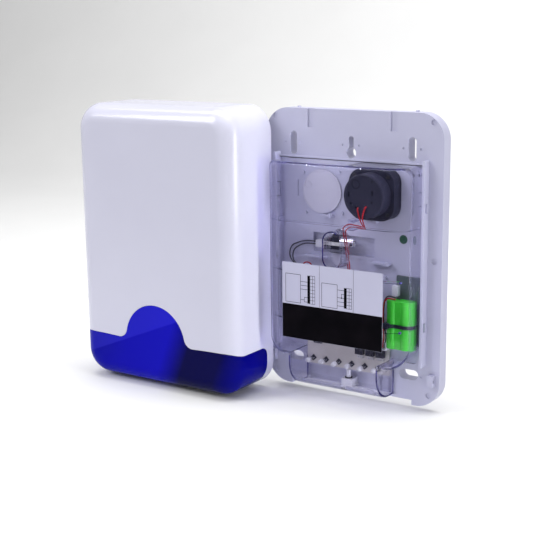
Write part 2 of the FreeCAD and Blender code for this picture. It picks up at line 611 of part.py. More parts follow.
def terminal_block():
    """Screw terminal strip for the field wires."""
    width = "=terminal_pitch * =terminal_count"
    block = box("terminal_body", ("=terminal_x - %s / 2" % width, "=terminal_x + %s / 2" % width),
                (BOARD_FACE + " - =terminal_deep", BOARD_FACE),
                ("=terminal_z - =terminal_height / 2", "=terminal_z + =terminal_height / 2"))
    tools = []
    for number in range(int(dim("terminal_count"))):
        x = "=terminal_x + (%f - =terminal_count / 2) * =terminal_pitch" % (number + 0.5)
        tools.append(cylinder("terminal_well_%d" % number, "=screw_radius + 0.3", 5,
                              (x, BOARD_FACE + " - =terminal_deep + 4", "=terminal_z + 1")))
        tools.append(box("terminal_mouth_%d" % number, (x + " - 1.6", x + " + 1.6"),
                         (BOARD_FACE + " - 5.5", BOARD_FACE + " - 2"),
                         ("=terminal_z - =terminal_height / 2 - 1",
                          "=terminal_z - =terminal_height / 2 + 3")))
    return cut("terminal_block", block, *tools)


def terminal_screws():
    """Clamping screws of the terminal strip."""
    screws = []
    for number in range(int(dim("terminal_count"))):
        x = "=terminal_x + (%f - =terminal_count / 2) * =terminal_pitch" % (number + 0.5)
        screws.append(screw("terminal_screw_%d" % number, (x, BOARD_FACE + " - =terminal_deep + 2",
                                                           "=terminal_z + 1"), 1.6, 1.0, 0.9, 1.9))
    return group("terminal_screws", *screws)


def capacitors():
    """Two electrolytic capacitors."""
    cans = [cylinder("capacitor_%d" % number, radius, length, (x, BOARD_FACE, z))
            for number, (x, z, radius, length) in enumerate(((20.0, -72.0, 4.0, 11.0), (31.0, -74.0, 3.2, 9.0)))]
    return group("capacitors", *cans)


def control_chip():
    """Controller chip."""
    return plate_body("control_chip", 10, 7, 1.8, ("-36", BOARD_FACE, "-92"), "0.4")


def board_screws():
    """Screws that hold the board to its standoffs."""
    return group("board_screws", *[screw("board_screw_%d" % number, (x, BOARD_FACE, z), shank_deep=3.5)
                                   for number, (x, z) in enumerate(board_screw_spots())])


# ---------------------------------------------------------------------------------------------
# battery
# ---------------------------------------------------------------------------------------------

CELL_Y = "-(=base_depth) - 1.7 - =tie_thick - =wrap_thick - =cell_radius - 0.3"


def cell_spot(number):
    """Centre of one cell across the pack."""
    return "=battery_x + (%f - (=cell_count - 1) / 2) * =cell_pitch" % number


def battery_cells():
    """Rechargeable cells side by side."""
    cells = [cylinder("cell_%d" % number, "=cell_radius", "=cell_length",
                      (cell_spot(number), CELL_Y, "=battery_z - =cell_length / 2"), UPRIGHT)
             for number in range(int(dim("cell_count")))]
    return group("battery_cells", *cells)


def battery_envelope(name, grow):
    """Outline of the pack: both rounds joined by a waist."""
    reach = "(=cell_length / 2 + %s)" % grow
    rounds = [cylinder("%s_round_%d" % (name, number), "=cell_radius + %s" % grow, "2 * " + reach,
                       (cell_spot(number), CELL_Y, "=battery_z - " + reach), UPRIGHT)
              for number in range(int(dim("cell_count")))]
    waist = box(name + "_waist", (cell_spot(0), cell_spot(1)),
                (CELL_Y + " - =cell_radius * 0.86 - " + grow, CELL_Y + " + =cell_radius * 0.86 + " + grow),
                ("=battery_z - " + reach, "=battery_z + " + reach))
    return fuse(name, *rounds, waist)


def battery_wrap():
    """Green shrink sleeve around the cells."""
    return cut("battery_wrap", battery_envelope("wrap_outer", "=wrap_thick"),
               battery_envelope("wrap_inner", "0.05"))


def battery_tie():
    """Black cable tie round the pack, with its head at the left."""
    width = "=tie_width / 2"
    outer = battery_envelope("tie_outer", "(=wrap_thick + 0.1 + =tie_thick)")
    inner = battery_envelope("tie_inner", "(=wrap_thick + 0.1)")
    slab = box("tie_slab", ("=battery_x - 30", "=battery_x + 30"), (CELL_Y + " - 15", CELL_Y + " + 15"),
               ("=battery_z - 0.8 - " + width, "=battery_z - 0.8 + " + width))
    band = common("tie_band", cut("tie_sleeve", outer, inner), slab)
    head = box("tie_head", (cell_spot(0) + " - 7", cell_spot(0) + " - 1.6"),
               (CELL_Y + " - =cell_radius - 4.2", CELL_Y + " - =cell_radius - 0.7"),
               ("=battery_z - 3.6", "=battery_z + 2"))
    clear = battery_envelope("tie_head_clear", "(=wrap_thick + 0.1)")
    return fuse("battery_tie", band, cut("tie_head_cut", head, clear))


def battery_board():
    """Green backing board under the battery."""
    return plate_body("battery_board", "=battery_board_width", "=battery_board_height", 1.6,
                      ("=battery_board_x", FACE + " - 0.02", "=battery_board_z"), "1.0")


def battery_plug():
    """White plug of the battery leads on the board's edge."""
    block = box("plug_block", (40.6, 46.6), (BOARD_FACE + " - 7", BOARD_FACE), (-90.0, -82.0))
    mouth = box("plug_mouth", (41.4, 45.8), (BOARD_FACE + " - 8", BOARD_FACE + " - 3.4"), (-89.0, -81.0))
    return cut("battery_plug", block, mouth)


# ---------------------------------------------------------------------------------------------
# tamper switch
# ---------------------------------------------------------------------------------------------

SWITCH_BACK = "-(=base_depth) + =switch_bay_deep - 0.05"


def lever_pin_spot():
    """Axis of the lever's pivot, in X and Y."""
    return "=lever_pivot_x", "=lever_front_y + 1.6"


def tamper_switch_body():
    """Black switch block with two ears that carry the lever's pin."""
    pin_x, pin_y = lever_pin_spot()
    half = "=switch_height / 2"
    block = box("switch_block", ("=switch_x - =switch_width / 2", "=switch_x + =switch_width / 2"),
                (SWITCH_BACK + " - =switch_deep", SWITCH_BACK),
                ("=switch_z - " + half, "=switch_z + " + half))
    ears = [box("switch_ear_%d" % number, (pin_x + " - 1.8", pin_x + " + 1.8"),
                (pin_y + " - 1.5", SWITCH_BACK + " - =switch_deep + 1"), (low, high))
            for number, (low, high) in enumerate((("=switch_z - " + half, "=switch_z - 2.1"),
                                      ("=switch_z + 2.1", "=switch_z + " + half)))]
    bore = cylinder("switch_pin_bore", "=pivot_radius - 0.01", "=switch_height + 2",
                    (pin_x, pin_y, "=switch_z - " + half + " - 1"), UPRIGHT)
    return cut("tamper_switch_body", fuse("switch_solid", block, *ears), bore)


def tamper_switch_pin():
    """Steel pin that the lever turns on, held in the ears."""
    pin_x, pin_y = lever_pin_spot()
    return cylinder("tamper_switch_pin", "=pivot_radius - 0.01", "=switch_height",
                    (pin_x, pin_y, "=switch_z - =switch_height / 2"), UPRIGHT)


def tamper_lever():
    """Thin steel lever that the cover's post presses."""
    pin_x, pin_y = lever_pin_spot()
    strip = box("lever_strip", (pin_x + " + 1.2", "=lever_end_x"),
                ("=lever_front_y", "=lever_front_y + =lever_thick"),
                ("=switch_z - =lever_height / 2", "=switch_z + =lever_height / 2"))
    eye = cylinder("lever_eye", "=pivot_radius + 0.8", "=lever_height",
                   (pin_x, pin_y, "=switch_z - =lever_height / 2"), UPRIGHT)
    neck = box("lever_neck", (pin_x, pin_x + " + 1.8"), ("=lever_front_y", pin_y),
               ("=switch_z - =lever_height / 2", "=switch_z + =lever_height / 2"))
    bore = cylinder("lever_bore", "=pivot_radius + =pivot_clearance - 0.01", "=lever_height + 2",
                    (pin_x, pin_y, "=switch_z - =lever_height / 2 - 1"), UPRIGHT)
    return cut("tamper_lever", fuse("lever_solid", strip, eye, neck), bore)


def tamper_barrel():
    """Bright metal barrel beside the switch block."""
    start = "=switch_x + =switch_width / 2 + 0.02"
    tube = cylinder("barrel_tube", "=barrel_radius", "=barrel_length", (start, "-17.4", "=barrel_z"),
                    SIDEWAYS)
    bore = cylinder("barrel_bore", "=barrel_radius - 1.6", 4,
                    (start + " + =barrel_length - 2.5", "-17.4", "=barrel_z"), SIDEWAYS)
    return cut("tamper_barrel", tube, bore)


def tamper_plug():
    """White two-way plug on the switch's left end."""
    return box("tamper_plug", ("=switch_x - =switch_width / 2 - 13",
                               "=switch_x - =switch_width / 2 - 0.02"), ("-19.5", "-12.5"),
               ("=switch_z - 6.4", "=switch_z + 0.6"))


# ---------------------------------------------------------------------------------------------
# leads
# ---------------------------------------------------------------------------------------------

def all_leads():
    """The seven internal wires along their clipped routes."""
    plug_end = dim("switch_x") - dim("switch_width") / 2 - 13.05
    left, right = [(dim("driver_x") + x, dim("driver_z") + z) for x, z in LEAD_HOLES]
    return [lead("driver_lead_left", [(left[0], -43.0, left[1]), (left[0], -46.8, left[1]),
                                      (28.2, -46.8, 44.5), (29.2, -42.0, 37.0), (25.6, -31.5, 33.6),
                                      (4.5, -26.8, 34.4), (-2.6, -26.6, 29.6), (0.2, -28.0, 22.0),
                                      (1.9, -28.0, 11.0), (3.6, -25.5, -10.0), (4.2, -24.2, -26.0),
                                      (3.4, -24.0, -64.0)], 0.6),
            lead("driver_lead_right", [(right[0], -43.0, right[1]), (right[0], -46.8, right[1]),
                                       (30.8, -46.8, 45.5), (31.6, -42.0, 35.4), (26.6, -31.0, 31.4),
                                       (7.0, -26.8, 32.2), (0.8, -26.6, 27.4), (2.8, -28.0, 21.0),
                                       (4.3, -28.0, 11.0), (5.6, -25.5, -10.0), (6.2, -24.2, -26.0),
                                       (5.6, -24.0, -64.0)], 0.6),
            lead("tamper_lead_left", [(plug_end, -16.0, 11.0), (-54.0, -16.0, 10.6), (-70.0, -16.4, 4.0),
                                      (-72.0, -16.6, -8.0), (-60.0, -17.0, -20.0), (-44.0, -18.6, -34.0),
                                      (-36.0, -20.0, -52.0), (-33.0, -21.0, -66.0)], 0.65),
            lead("tamper_lead_right", [(plug_end, -16.0, 8.2), (-54.0, -16.4, 8.0), (-66.0, -17.6, 0.6),
                                       (-66.0, -19.6, -10.0), (-54.0, -20.6, -19.0),
                                       (-38.0, -21.4, -32.0), (-30.0, -21.4, -50.0),
                                       (-29.0, -21.0, -66.0)], 0.65),
            lead("board_loop_lead", [(-46.0, -17.7, -61.0), (-46.0, -22.4, -61.0), (-52.0, -24.6, -44.0),
                                     (-53.0, -25.6, -22.0), (-48.0, -25.6, -9.6), (-40.0, -25.6, -9.6),
                                     (-36.0, -25.6, -22.0), (-34.0, -25.0, -44.0), (-25.6, -23.2, -56.0),
                                     (-25.0, -21.4, -66.0)], 0.65),
            lead("battery_lead_red", [(58.0, -26.6, -35.8), (48.8, -27.0, -35.3), (46.2, -28.6, -39.4),
                                      (45.4, -29.4, -50.0), (44.8, -26.8, -64.0), (44.4, -24.6, -77.0),
                                      (42.5, -23.0, -83.6), (42.5, -23.0, -87.6)], 0.7),
            lead("battery_lead_black", [(61.0, -22.4, -35.9), (47.6, -22.2, -34.0), (43.8, -22.6, -38.0),
                                        (42.8, -23.0, -50.0), (43.2, -22.8, -64.0), (46.0, -22.4, -76.0),
                                        (44.7, -23.0, -83.6), (44.7, -23.0, -87.6)], 0.7)]


def lead_clip():
    """Clear saddle that holds the driver's leads."""
    saddle = box("clip_outer", (6.5, 12.5), (-31.4, FACE + " - 0.02"), (28.6, 39.4))
    arch = box("clip_space", (6, 13), (-30.0, FACE + " + 1"), (30.2, 36.8))
    return cut("lead_clip", saddle, arch)


def battery_end_tab():
    """Pale solder-tag insulator above the battery."""
    return box("battery_end_tab", (50.5, 57.0), (-20.6, "-(=base_depth) - 1.64"), (-34.0, -24.0))


# ---------------------------------------------------------------------------------------------
# lock post and block in the tray
# ---------------------------------------------------------------------------------------------

def lock_block():
    """White block at the foot of the tray."""
    return box("lock_block", (-6.2, 6.2), (-21.0, "-(=base_depth) + =tray_deep - 0.02"), (-135.4, -127.6))


def lock_post():
    """White turned post standing on the block."""
    return cylinder("lock_post", 2.5, 9.4, (0, -16.9, -127.58), UPRIGHT)


def lock_ring():
    """Black rubber ring at the foot of the post."""
    ring = doc.addObject("Part::Torus", "lock_ring")
    ring.Radius1 = 3.25
    ring.Radius2 = 0.7
    return place(ring, (0, -16.9, -126.8))


# ---------------------------------------------------------------------------------------------
# clear inner cover
# ---------------------------------------------------------------------------------------------

def clear_main(name, grow):
    """Main box of the clear cover: slanted front sides, small upper and large lower corner rounds."""
    x = ("-(=inner_half) + %f" % grow, "=inner_half - %f" % grow)
    y = ("=inner_front_y + %f" % grow, "=inner_back_y + %d" % (1 if grow else 0))
    z = ("=inner_low_z + %f" % grow, "=inner_top_z - %f" % grow)
    block = box(name + "_block", x, y, z)
    doc.recompute()
    front_y = dim("inner_front_y") + grow
    slanted = doc.addObject("Part::Chamfer", name + "_slanted")
    slanted.Base = block
    slanted.Edges = [(number, dim("inner_slant_x") - 0.412 * grow, dim("inner_slant_y") - 0.74 * grow)
                     for number, edge in enumerate(block.Shape.Edges, start=1)
                     if along("z")(edge) and abs(edge.CenterOfMass.y - front_y) < 0.01]
    softened = fillet(name + "_softened", slanted, dim("inner_slant_round") - grow / 2,
                      lambda edge: along("z")(edge) and edge.CenterOfMass.y < dim("inner_back_y") - 5)
    wider = ("-(=inner_half) + %f" % (grow - 0.02), "=inner_half - %f" % (grow - 0.02))
    outline = box(name + "_outline", wider, y, z)
    tops = fillet(name + "_tops", outline, dim("inner_top_round") - grow / 2, along("y", low=("z", 0)))
    lows = fillet(name + "_lows", tops, dim("inner_low_round") - grow / 2, along("y", high=("z", 0)))
    return fillet(name + "_main", common(name + "_sharp", softened, lows), dim("inner_edge") - grow / 2,
                  lambda edge: along("x")(edge) and abs(edge.CenterOfMass.y - front_y) < 0.01)


def clear_chin(name, grow):
    """Narrower deep chin below the main box, rounded front and back along its lower edge."""
    x = ("-(=chin_half) + %f" % grow, "=chin_half - %f" % grow)
    y = ("=inner_front_y + %f" % grow, "=inner_back_y + %d" % (1 if grow else 0))
    block = box(name + "_chin", x, y, ("=chin_low_z + %f" % grow, "=inner_low_z + 12"))
    front = fillet(name + "_chin_front", block, dim("chin_round") - grow,
                   lambda edge: along("x", high=("z", dim("inner_low_z")))(edge)
                   and edge.CenterOfMass.y < dim("inner_front_y") + grow + 0.1)
    side_x = dim("chin_half") - grow
    return fillet(name + "_chin_sides", front, dim("chin_side_round") - grow,
                  lambda edge: abs(abs(edge.CenterOfMass.x) - side_x) < 0.01
                  and edge.CenterOfMass.y < dim("inner_back_y") - 2
                  and edge.CenterOfMass.z < dim("inner_low_z") + 11)


def rounded_shell(name, grow):
    """Outer or inner volume of the clear cover."""
    return fuse(name, clear_main(name, grow), clear_chin(name, grow))


INNER_RIBS = [(36.0, 80.0), (-14.0, 73.0), (-63.5, 73.0)]


def inner_rib(number, z, reach):
    """Level rib that follows the inside of the clear cover's front and slanted sides."""
    ring = cut("inner_rib_ring_%d" % number, clear_main("rib_out_%d" % number, 0.8),
               clear_main("rib_in_%d" % number, 3.8))
    slab = box("inner_rib_slab_%d" % number, (-reach, reach), ("=inner_front_y", "=inner_back_y - 4"),
               (z - 0.8, z + 0.8))
    return common("inner_rib_%d" % number, ring, slab)


def clear_inner_cover():
    """Clear plastic cover over the electronics, with a slot-shaped opening for the cover's post."""
    shell = cut("inner_shell", rounded_shell("inner_out", 0.0),
                rounded_shell("inner_in", dim("inner_thick")))
    ribs = [inner_rib(number, z, reach) for number, (z, reach) in enumerate(INNER_RIBS)]
    shelf = box("inner_shelf", ("=chin_half - 1", "=chin_half + 24"), ("-18", "=inner_back_y"),
                ("=inner_low_z", "=inner_low_z + 2"))
    hole = obround("inner_opening", "=opening_width + 2.44", "=opening_height + 2.44",
                   "=opening_collar + 4", ("0", "=inner_front_y + =opening_collar + 2", "=opening_z"))
    windows = [box("inner_window_%d" % number, ("=inner_half - 4", "=inner_half + 2"), (-24.4, -20.0),
                   limits) for number, limits in enumerate(((-44.6, -26.2), (-79.8, -60.5)))]
    lock_way = box("inner_lock_way", ("-8", "8"), (-22.5, -13.0), ("=chin_low_z - 1", "=chin_low_z + 3"))
    solid = fuse("inner_solid", shell, *ribs, shelf)
    return cut("clear_inner_cover", solid, hole, *windows, lock_way)


def post_sleeve():
    """Clear slot-shaped sleeve in the inner cover's opening, round the way of the cover's post."""
    start = ("0", "=inner_front_y + =opening_collar", "=opening_z")
    outer = obround("sleeve_outer", "=opening_width + 2.4", "=opening_height + 2.4", "=opening_collar",
                    start)
    inner = obround("sleeve_inner", "=opening_width", "=opening_height", "=opening_collar + 4",
                    ("0", "=inner_front_y + =opening_collar + 2", "=opening_z"))
    return cut("post_sleeve", outer, inner)


def wiring_label():
    """Thin printed label on the clear cover."""
    return plate_body("wiring_label", "=label_width", "=label_top_z - =label_low_z", "=label_thick",
                      ("0", "=inner_front_y - 0.02", "(=label_top_z + =label_low_z) / 2"))


# ---------------------------------------------------------------------------------------------
# front cover, in its own frame: rim at y = 0, then moved to its rest place
# ---------------------------------------------------------------------------------------------

REST = ("=cover_rest_x", "=cover_rest_y", "0")


def cover_volume(name, inset):
    """Rounded block of the cover, inset by a distance on all sides but the rim."""
    block = box(name + "_block", ("-(=cover_half) + %f" % inset, "=cover_half - %f" % inset),
                ("-(=cover_deep) + %f" % inset, "%f" % (inset and 1)),
                ("-(=cover_half_height) + %f" % inset, "=cover_half_height - %f" % inset))
    corners = fillet(name + "_corners", block, dim("cover_corner") - inset, along("y"))
    return fillet(name, corners, dim("cover_edge") - inset, on_front(-dim("cover_deep") + inset))


def lens_prism(name, gap, rim):
    """Block below the wavy upper line of the lens, grown by a gap; it stops short of the cover's rim."""
    radius = dim("hump_radius") + gap
    flare = dim("hump_flare") - gap
    line_z = dim("lens_line_z") + gap
    side_z = dim("lens_side_z") + gap
    half = dim("cover_half")
    low = -dim("cover_half_height") - 10
    far = half + 10
    rise = line_z + flare - dim("hump_z")
    foot_x = math.sqrt((radius + flare) ** 2 - rise ** 2)
    share = radius / (radius + flare)
    touch = Vector(foot_x * share, 0, dim("hump_z") + rise * share)
    centre = Vector(foot_x, 0, line_z + flare)
    toward = math.atan2(touch.z - centre.z, touch.x - centre.x)
    half_way = (toward - math.pi / 2 + (2 * math.pi if toward < 0 else 0)) / 2
    bend = centre + Vector(math.cos(-math.pi / 2 - half_way), 0, math.sin(-math.pi / 2 - half_way)) * flare
    foot = Vector(foot_x, 0, line_z)
    swell = Vector((foot_x + half - 16) / 2, 0, line_z + 0.7)
    shoulder = Vector(half - 16, 0, line_z + 1.0)
    fall = Vector(half - 6, 0, (line_z + 1.0) * 0.66 + side_z * 0.34)
    side = Vector(half, 0, side_z)
    end = Vector(far, 0, side_z)
    right = [foot, swell, shoulder, fall, side, end, Vector(far, 0, low)]
    left = [Vector(-point.x, 0, point.z) for point in right]
    edges = [Part.Arc(Vector(-touch.x, 0, touch.z), Vector(0, 0, dim("hump_z") + radius), touch)]
    for sign, side_points in ((1, right), (-1, left)):
        start = Vector(sign * touch.x, 0, touch.z)
        edges.append(Part.Arc(start, Vector(sign * bend.x, 0, bend.z), side_points[0]))
        edges.append(Part.Arc(*side_points[0:3]))
        edges.append(Part.Arc(*side_points[2:5]))
        edges.append(Part.LineSegment(side_points[4], side_points[5]))
        edges.append(Part.LineSegment(side_points[5], side_points[6]))
    edges.append(Part.LineSegment(right[6], left[6]))
    outline = Part.Wire(Part.__sortEdges__([edge.toShape() for edge in edges]))
    prism = Part.Face(outline).extrude(Vector(0, -dim("cover_deep") - 10, 0))
    round_side = dim("lens_side_round") + gap
    deep = dim("cover_deep") + 20
    strip = Part.makeBox(2 * far, deep, side_z - low, Vector(-far, -rim - deep, low))
    rear_top = [edge for edge in strip.Edges
                if edge.CenterOfMass.z > side_z - 0.1 and edge.CenterOfMass.y > -rim - 0.1]
    strip = strip.makeFillet(round_side, rear_top)
    ahead = Part.makeBox(2 * far, deep, 200, Vector(-far, -rim - round_side - deep, low))
    return feature(name, prism.common(strip.fuse(ahead)))


def tamper_post():
    """Round post inside the cover that reaches the switch lever when the cover is on."""
    tip = dim("lever_front_y") - dim("cover_closed_y") - dim("post_tip_gap")
    length = dim("cover_deep") - 1 + tip
    return cylinder("cover_post", "=post_radius", length, ("=post_x", tip, "=post_z"))


def front_cover():
    """Deep white outer shell, cut away for the lens."""
    shell = cut("cover_shell", cover_volume("cover_outer", 0.0),
                cover_volume("cover_inner", dim("cover_wall")))
    prism = lens_prism("cover_lens_cut", dim("lens_gap"), dim("lens_rim") - dim("lens_gap"))
    tongues = [box("cover_tongue_%d" % number, (x - 2.4, x + 2.4), (-16.0, -11.9), (127.6, 146.4))
               for number, x in enumerate((-dim("groove_x"), dim("groove_x")))]
    notches = [box("cover_nub_notch_%d" % number, (x - 4, x + 4), (-5.2, 1), (144, 147.0))
               for number, x in enumerate((-67.0, 67.0))]
    lock_hole = cylinder("cover_lock_hole", "=lock_radius + =lock_clearance", 8,
                         ("0", "=lock_y", "-(=cover_half_height) - 2"), UPRIGHT)
    plain = cut("cover_open", shell, prism)
    solid = fuse("cover_solid", plain, tamper_post(), *tongues)
    return place(cut("front_cover", solid, *notches, lock_hole), REST)


def strobe_lens():
    """Blue lens that forms the lower front, sides and bottom of the cover."""
    shell = cut("lens_shell", cover_volume("lens_outer", 0.0),
                cover_volume("lens_inner", dim("cover_wall")))
    body = common("lens_body", shell, lens_prism("lens_limit", 0.0, dim("lens_rim")))
    flange_shell = cut("lens_flange_shell", cover_volume("lens_flange_outer", dim("cover_wall") - 0.6),
                       cover_volume("lens_flange_inner", dim("cover_wall") + 1.2))
    flange_limit = common("lens_flange_limit", flange_shell,
                          lens_prism("lens_flange_low", -1.4, dim("lens_rim") + 4.4))
    return place(fuse("strobe_lens", body, flange_limit), REST)


def lens_seal():
    """Dark seal strip behind the joint line between shell and lens."""
    inset = dim("cover_wall") + 0.05
    layer = cut("seal_layer", cover_volume("seal_outer", inset), cover_volume("seal_inner", inset + 1.1))
    band = cut("seal_band", lens_prism("seal_wide", 3.2, dim("lens_rim") + 1.8),
               lens_prism("seal_narrow", -1.2, dim("lens_rim") + 4.2))
    return place(common("lens_seal", layer, band), REST)


def cover_lock_screw():
    """Captive screw in the cover's bottom edge, backed out."""
    shank = cylinder("lock_shank", "=lock_radius", 8.0, ("0", "=lock_y", "-(=cover_half_height) - 0.02"),
                     UPRIGHT)
    head = cylinder("lock_head", "=lock_head_radius", 2.2, ("0", "=lock_y",
                                                            "-(=cover_half_height) - 2.22"), UPRIGHT)
    slot = box("lock_slot", (-4, 4), ("=lock_y - 0.5", "=lock_y + 0.5"),
               ("-(=cover_half_height) - 3", "-(=cover_half_height) - 1.3"))
    return place(cut("cover_lock_screw", fuse("lock_solid", shank, head), slot), REST)


# ---------------------------------------------------------------------------------------------
# the whole siren
# ---------------------------------------------------------------------------------------------

def driver_screws():
    """Four screws through the corners of the horn body."""
    return group("driver_screws", *[
        screw("driver_screw_%d" % number, (x, "-(=base_depth) - =driver_deep - 0.1", z), 1.9, 1.2, 0.9, 3.0)
        for number, (x, z) in enumerate(driver_corners())])


def build():
    """Make every part; the order is base, electronics, inner cover, front cover."""
    parts = [base_plate(), siren_driver_housing(), siren_driver_cap(), siren_membrane(), blanking_disc(),
             driver_screws(), inspection_dot(), control_board(), board_screws(), strobe_leds(),
             led_legs(), led_spacers(), transistor_bodies(), transistor_legs(), terminal_block(),
             terminal_screws(), capacitors(), control_chip(), battery_cells(), battery_wrap(),
             battery_tie(), battery_board(), battery_plug(), tamper_switch_body(), tamper_switch_pin(),
             tamper_lever(), tamper_barrel(), tamper_plug(), *all_leads(), lead_clip(),
             battery_end_tab(), lock_block(), lock_post(), lock_ring(), clear_inner_cover(),
             post_sleeve(), wiring_label(), front_cover(), strobe_lens(), lens_seal(), cover_lock_screw()]
    for part in parts:
        part.Label = part.Name
    return parts


def check(parts):
    """Stop on any failed object or broken shape."""
    doc.recompute()
    bad = [item.Name for item in doc.Objects if "Invalid" in item.State or "Error" in item.State]
    for part in parts:
        if part.Shape.isNull() or not part.Shape.isValid() or not part.Shape.Solids:
            bad.append(part.Name)
    if bad:
        raise SystemExit("failed: " + ", ".join(bad))


def export(parts):
    """Write one STEP file for each part."""
    os.makedirs("parts", exist_ok=True)
    for part in parts:
        part.Shape.exportStep("parts/%s.step" % part.Label)
        print("%-24s solids %2d  volume %9.1f" % (part.Label, len(part.Shape.Solids), part.Shape.Volume))


siren = build()
check(siren)
export(siren)
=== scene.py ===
"""Looks of the alarm siren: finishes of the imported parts, fine pieces, light and camera."""

import json
import math

import bmesh
import bpy
from mathutils import Matrix, Vector


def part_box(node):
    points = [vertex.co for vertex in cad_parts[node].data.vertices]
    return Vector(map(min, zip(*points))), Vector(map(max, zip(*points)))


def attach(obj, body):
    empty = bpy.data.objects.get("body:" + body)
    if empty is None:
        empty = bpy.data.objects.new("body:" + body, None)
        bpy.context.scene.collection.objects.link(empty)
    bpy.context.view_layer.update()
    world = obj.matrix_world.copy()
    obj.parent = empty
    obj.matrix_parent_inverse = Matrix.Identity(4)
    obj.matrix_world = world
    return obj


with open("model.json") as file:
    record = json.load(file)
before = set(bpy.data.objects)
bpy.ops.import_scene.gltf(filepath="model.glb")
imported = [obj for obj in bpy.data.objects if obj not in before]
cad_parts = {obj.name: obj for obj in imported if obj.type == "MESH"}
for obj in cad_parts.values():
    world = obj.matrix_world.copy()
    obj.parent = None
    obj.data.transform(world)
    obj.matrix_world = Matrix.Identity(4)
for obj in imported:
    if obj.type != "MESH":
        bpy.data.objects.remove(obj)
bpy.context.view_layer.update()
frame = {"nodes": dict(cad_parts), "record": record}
nodes = frame["nodes"]
MM = 0.001


# ---------------------------------------------------------------------------------------------
# material building
# ---------------------------------------------------------------------------------------------

def new_material(name):
    """A material with only an output node."""
    material = bpy.data.materials.new(name)
    material.use_nodes = True
    tree = material.node_tree
    tree.nodes.clear()
    output = tree.nodes.new("ShaderNodeOutputMaterial")
    return material, tree, output


def grey(value):
    """A value as a colour, for ramps that drive a number."""
    return (value, value, value)


def object_place(tree):
    """Position in the object's own coordinates."""
    return tree.nodes.new("ShaderNodeTexCoord").outputs["Object"]


def noise(tree, scale, detail=2.0):
    """Noise in the object's own coordinates."""
    texture = tree.nodes.new("ShaderNodeTexNoise")
    texture.inputs["Scale"].default_value = scale
    texture.inputs["Detail"].default_value = detail
    tree.links.new(object_place(tree), texture.inputs["Vector"])
    return texture.outputs["Fac"]


def ramp(tree, value, stops):
    """Colour ramp over a value; stops are (position, colour)."""
    node = tree.nodes.new("ShaderNodeValToRGB")
    while len(node.color_ramp.elements) < len(stops):
        node.color_ramp.elements.new(0.5)
    for element, (position, colour) in zip(node.color_ramp.elements, stops):
        element.position = position
        element.color = (*colour, 1.0)
    tree.links.new(value, node.inputs["Fac"])
    return node.outputs["Color"]


def mottled(tree, value, low, high):
    """Two colours mixed softly by noise."""
    return ramp(tree, value, [(0.3, low), (0.7, high)])


def reach(tree, value, start, end, first=0.0, last=1.0):
    """A value mapped from one range to another, held at both ends."""
    node = tree.nodes.new("ShaderNodeMapRange")
    node.inputs["From Min"].default_value = start
    node.inputs["From Max"].default_value = end
    node.inputs["To Min"].default_value = first
    node.inputs["To Max"].default_value = last
    tree.links.new(value, node.inputs["Value"])
    return node.outputs["Result"]


def along(tree, direction):
    """How far a point lies along a direction, in the object's own coordinates."""
    node = tree.nodes.new("ShaderNodeVectorMath")
    node.operation = "DOT_PRODUCT"
    node.inputs[1].default_value = direction
    tree.links.new(object_place(tree), node.inputs[0])
    return node.outputs["Value"]


def bump(tree, value, strength, distance):
    """Small surface relief from a value."""
    node = tree.nodes.new("ShaderNodeBump")
    node.inputs["Strength"].default_value = strength
    node.inputs["Distance"].default_value = distance
    tree.links.new(value, node.inputs["Height"])
    return node.outputs["Normal"]


def mixed(tree, share, first, second):
    """Two shaders mixed by a share of the second."""
    node = tree.nodes.new("ShaderNodeMixShader")
    tree.links.new(share, node.inputs["Fac"])
    tree.links.new(first, node.inputs[1])
    tree.links.new(second, node.inputs[2])
    return node.outputs["Shader"]


def plastic(name, low, high, roughness=(0.3, 0.4), scale=60.0, relief=0.04, grain=900.0, metallic=0.0,
            coat=0.0, specular=0.5):
    """General opaque finish: mottled colour, uneven roughness and a fine grain."""
    material, tree, output = new_material(name)
    shader = tree.nodes.new("ShaderNodeBsdfPrincipled")
    mottle = noise(tree, scale, 3.0)
    tree.links.new(mottled(tree, mottle, low, high), shader.inputs["Base Color"])
    rough = mottled(tree, mottle, grey(roughness[0]), grey(roughness[1]))
    tree.links.new(rough, shader.inputs["Roughness"])
    if relief:
        tree.links.new(bump(tree, noise(tree, grain), relief, 0.0003), shader.inputs["Normal"])
    shader.inputs["Metallic"].default_value = metallic
    shader.inputs["Coat Weight"].default_value = coat
    shader.inputs["Coat Roughness"].default_value = 0.05
    shader.inputs["Specular IOR Level"].default_value = specular
    tree.links.new(shader.outputs["BSDF"], output.inputs["Surface"])
    return material


